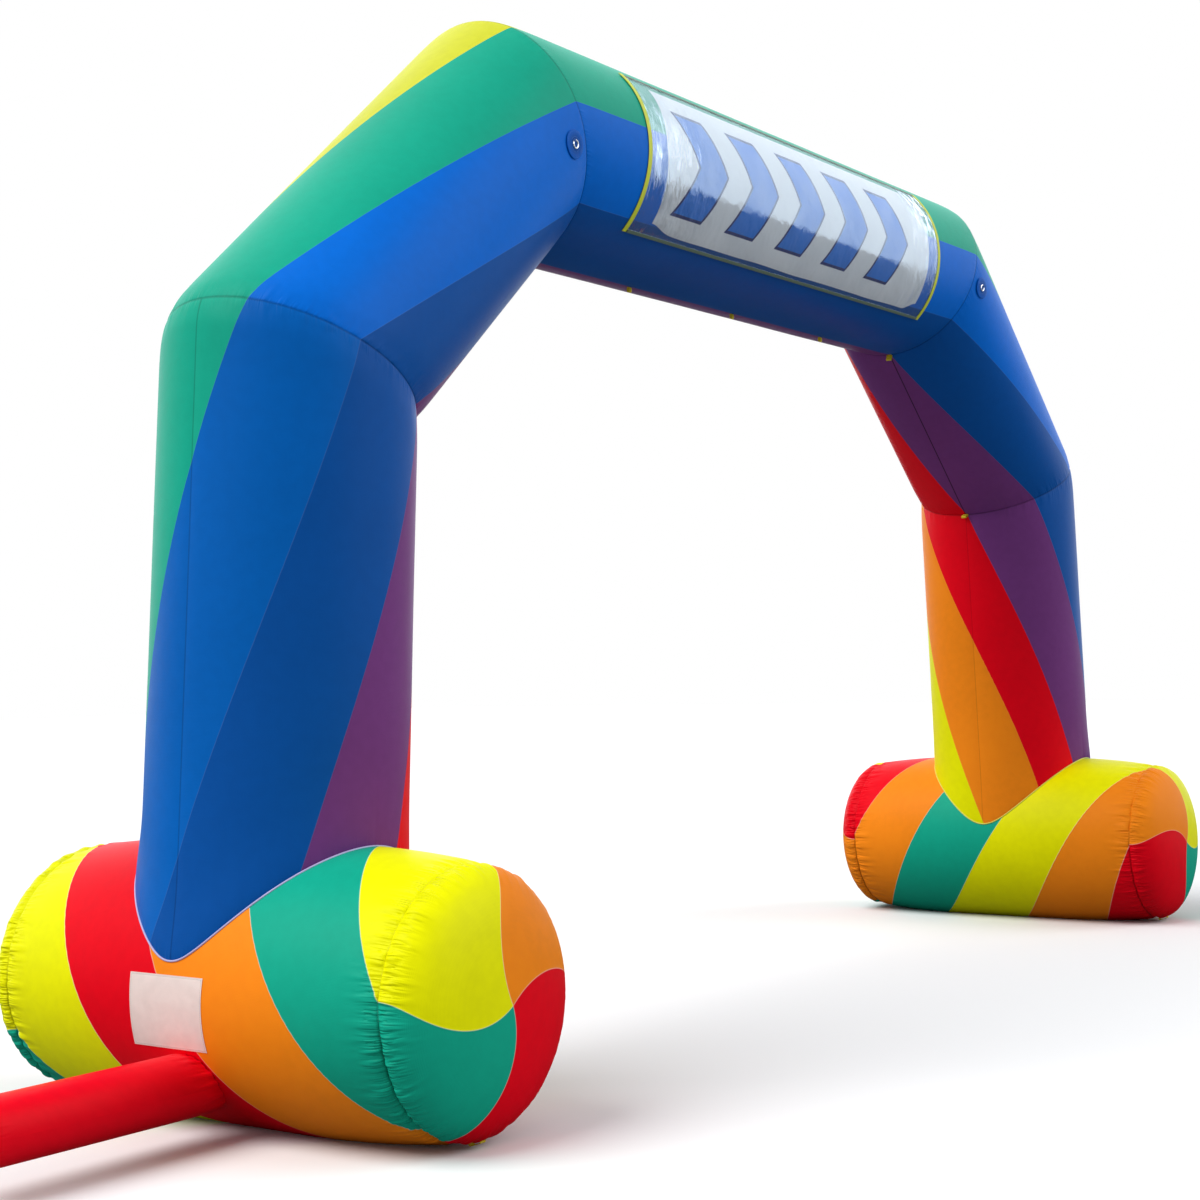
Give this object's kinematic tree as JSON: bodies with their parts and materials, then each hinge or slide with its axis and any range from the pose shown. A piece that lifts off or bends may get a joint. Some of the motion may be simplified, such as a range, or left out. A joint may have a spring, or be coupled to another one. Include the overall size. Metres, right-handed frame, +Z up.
{
  "type": "inflatable arch",
  "caption": "Free-standing inflatable entrance arch with straight legs, slanted shoulders, a level beam with a banner pocket, and two barrel feet.",
  "frame": {"origin": "bottom centre of the whole part's bounding box, on the ground", "axes": "+X along the beam away from the foot with the air inlet, -Y towards the side with the banner pocket, +Z up"},
  "size_m": [7.088, 1.8406, 3.6196],
  "materials": {
    "beam_cloth": "coated nylon in green, blue, navy and purple bands along the tube",
    "leg_cloth": "coated nylon in seven rainbow bands that wind round the tube",
    "shoulder_cloth": "coated nylon in seven rainbow bands that wind round the tube",
    "foot_cloth": "coated nylon in slanted green, yellow, orange and red panels",
    "cap_cloth": "coated nylon in four sectors that meet at the centre",
    "sleeve_cloth": "thin red nylon with a hemmed mouth",
    "clear_film": "clear glossy film",
    "binding_tape": "yellow-green binding tape",
    "banner_sheet": "white printed sheet with a plain blue pattern",
    "label_cloth": "bare white label cloth",
    "patch_cloth": "dark blue reinforcing cloth",
    "keeper_webbing": "dark blue webbing",
    "ring_steel": "polished steel",
    "loop_webbing": "woven yellow webbing"
  },
  "bodies": {
    "root": {"anchor_patch_left": "patch_cloth", "anchor_patch_right": "patch_cloth", "anchor_ring_left": "ring_steel", "anchor_ring_right": "ring_steel", "banner_insert": "banner_sheet", "beam": "beam_cloth", "beam_loop_left": "loop_webbing", "beam_loop_middle": "loop_webbing", "beam_loop_right": "loop_webbing", "cap_back_left": "cap_cloth", "cap_back_right": "cap_cloth", "cap_front_left": "cap_cloth", "cap_front_right": "cap_cloth", "corner_loop_left": "loop_webbing", "corner_loop_right": "loop_webbing", "foot_left": "foot_cloth", "foot_loop_left": "loop_webbing", "foot_loop_right": "loop_webbing", "foot_right": "foot_cloth", "inlet_sleeve": "sleeve_cloth", "knee_loop_left": "loop_webbing", "knee_loop_right": "loop_webbing", "label": "label_cloth", "leg_left": "leg_cloth", "leg_right": "leg_cloth", "pocket_binding_bottom": "binding_tape", "pocket_binding_left": "binding_tape", "pocket_binding_right": "binding_tape", "pocket_binding_top": "binding_tape", "pocket_film": "clear_film", "ring_keeper_left": "keeper_webbing", "ring_keeper_right": "keeper_webbing", "shoulder_left": "shoulder_cloth", "shoulder_right": "shoulder_cloth"}
  },
  "joints": []
}
